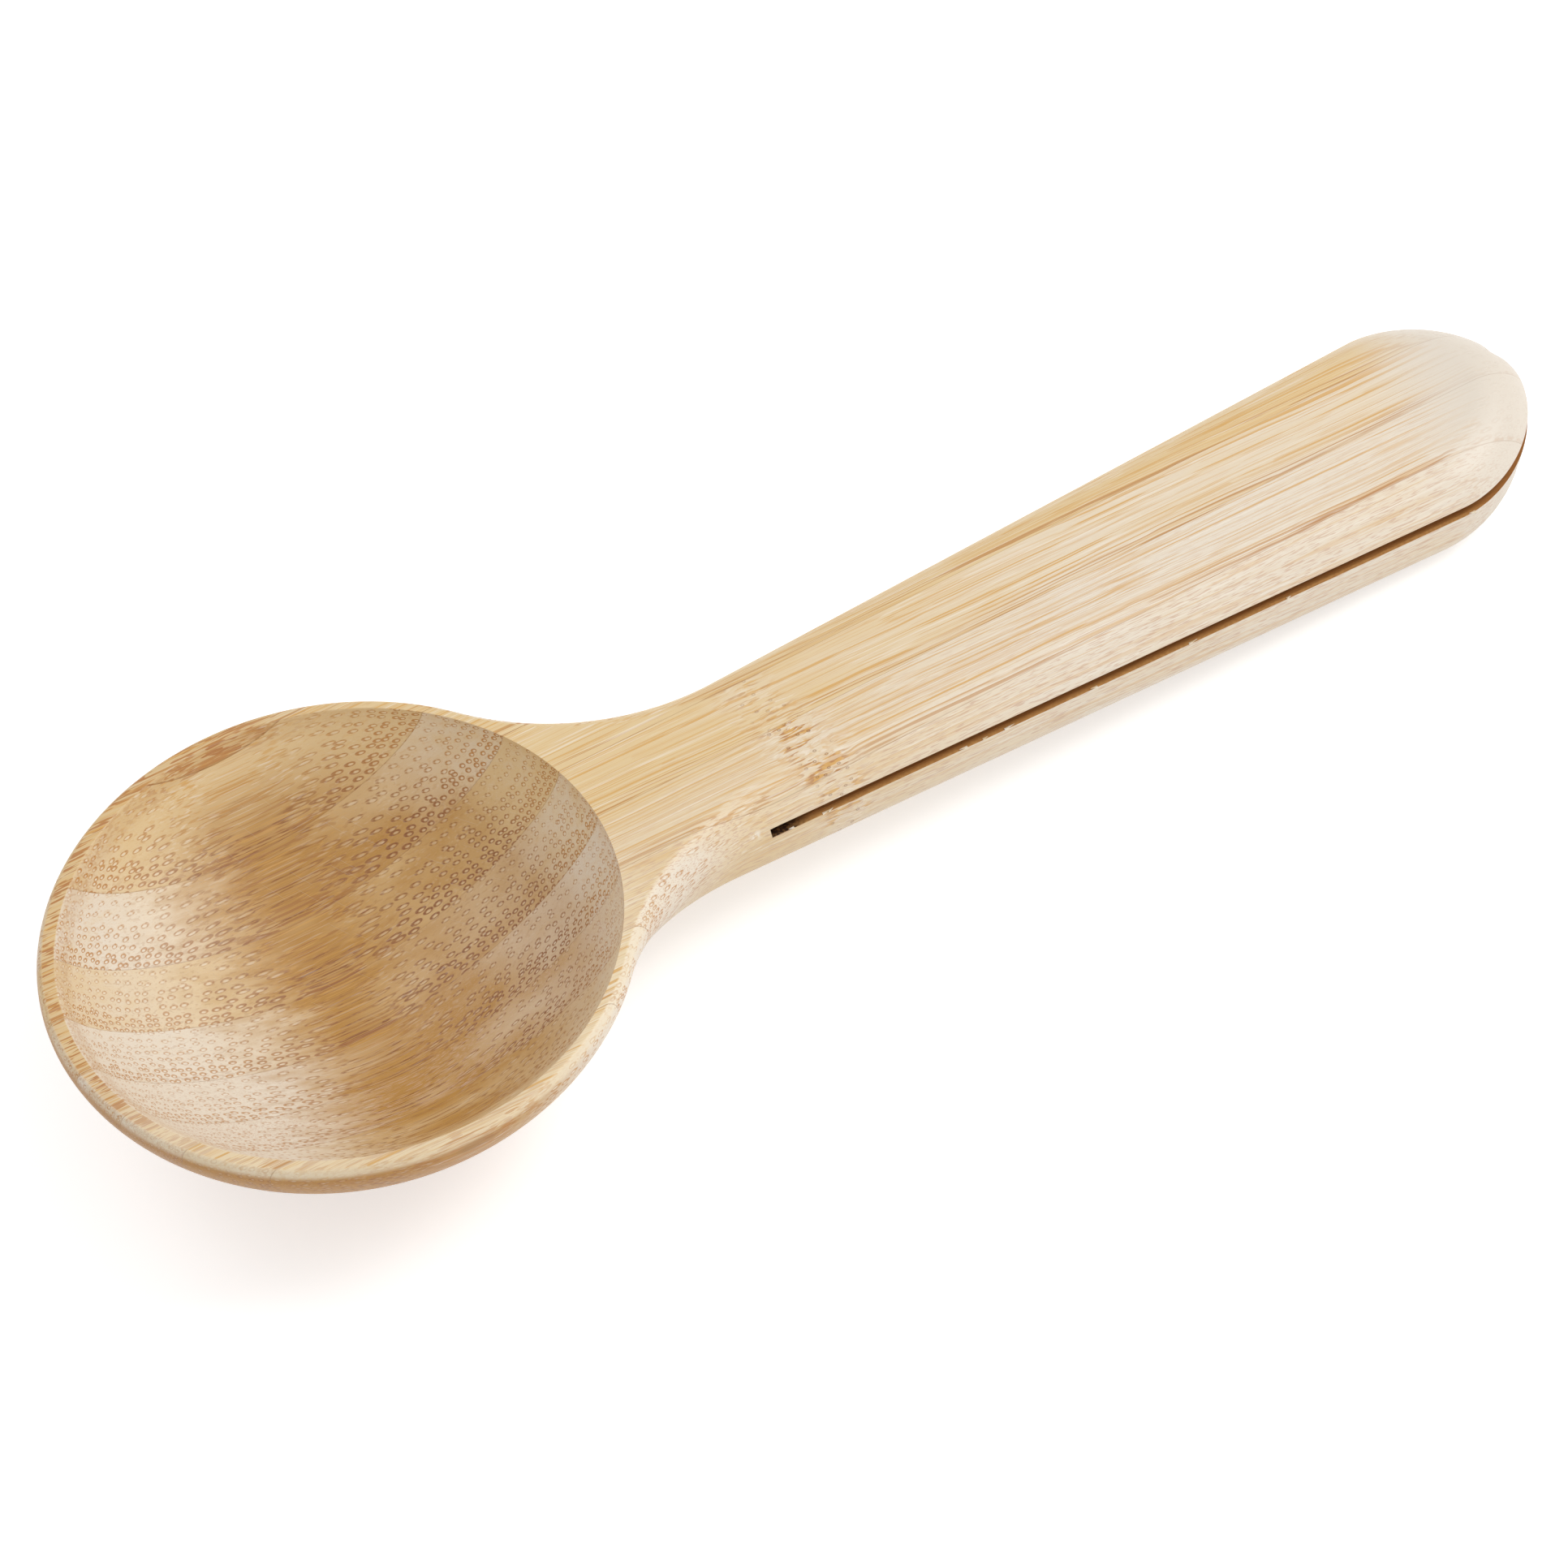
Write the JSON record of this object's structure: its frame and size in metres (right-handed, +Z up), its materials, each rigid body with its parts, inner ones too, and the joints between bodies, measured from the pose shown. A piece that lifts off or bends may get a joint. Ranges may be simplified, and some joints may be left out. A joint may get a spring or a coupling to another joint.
{
  "type": "coffee scoop with bag clip",
  "caption": "Round-bowled bamboo coffee scoop whose straight handle is sawn lengthwise, so that its two springy halves clip a coffee bag shut.",
  "frame": {"origin": "middle of the scoop's footprint, at the level of the bowl's underside", "axes": "+X from the bowl along the handle to its end, +Y to the far side in the picture, +Z up out of the bowl, square to the rim and the handle's top"},
  "size_m": [0.1696, 0.0626, 0.02],
  "materials": {
    "near_rim_bamboo": "sanded bamboo, lightly oiled, satin",
    "near_wall_bamboo": "sanded bamboo, lightly oiled, satin",
    "near_handle_bamboo": "sanded bamboo, lightly oiled, satin",
    "near_core_bamboo": "sanded bamboo, lightly oiled, satin",
    "far_core_bamboo": "sanded bamboo, lightly oiled, satin",
    "far_handle_bamboo": "sanded bamboo, lightly oiled, satin",
    "far_wall_bamboo": "sanded bamboo, lightly oiled, satin",
    "far_rim_bamboo": "sanded bamboo, lightly oiled, satin",
    "far_edge_bamboo": "sanded bamboo, lightly oiled, satin"
  },
  "bodies": {
    "scoop": {"near_rim_strip": "near_rim_bamboo", "near_wall_strip": "near_wall_bamboo", "near_handle_strip": "near_handle_bamboo", "near_core_strip": "near_core_bamboo", "far_core_strip": "far_core_bamboo", "far_handle_strip": "far_handle_bamboo", "far_wall_strip": "far_wall_bamboo", "far_rim_strip": "far_rim_bamboo", "far_edge_strip": "far_edge_bamboo"},
    "lower_jaw": {"lower_jaw_near_strip": "near_handle_bamboo", "lower_jaw_near_core": "near_core_bamboo", "lower_jaw_far_core": "far_core_bamboo", "lower_jaw_far_strip": "far_handle_bamboo"}
  },
  "joints": [
    {"name": "lower_jaw_flex", "type": "hinge", "parent": "scoop", "child": "lower_jaw", "pos_m": [-0.0084, 0, 0.0123], "axis": [0, 1, 0], "range_deg": [-0.4, 2.2], "stiffness_Nm_per_rad": 30}
  ]
}
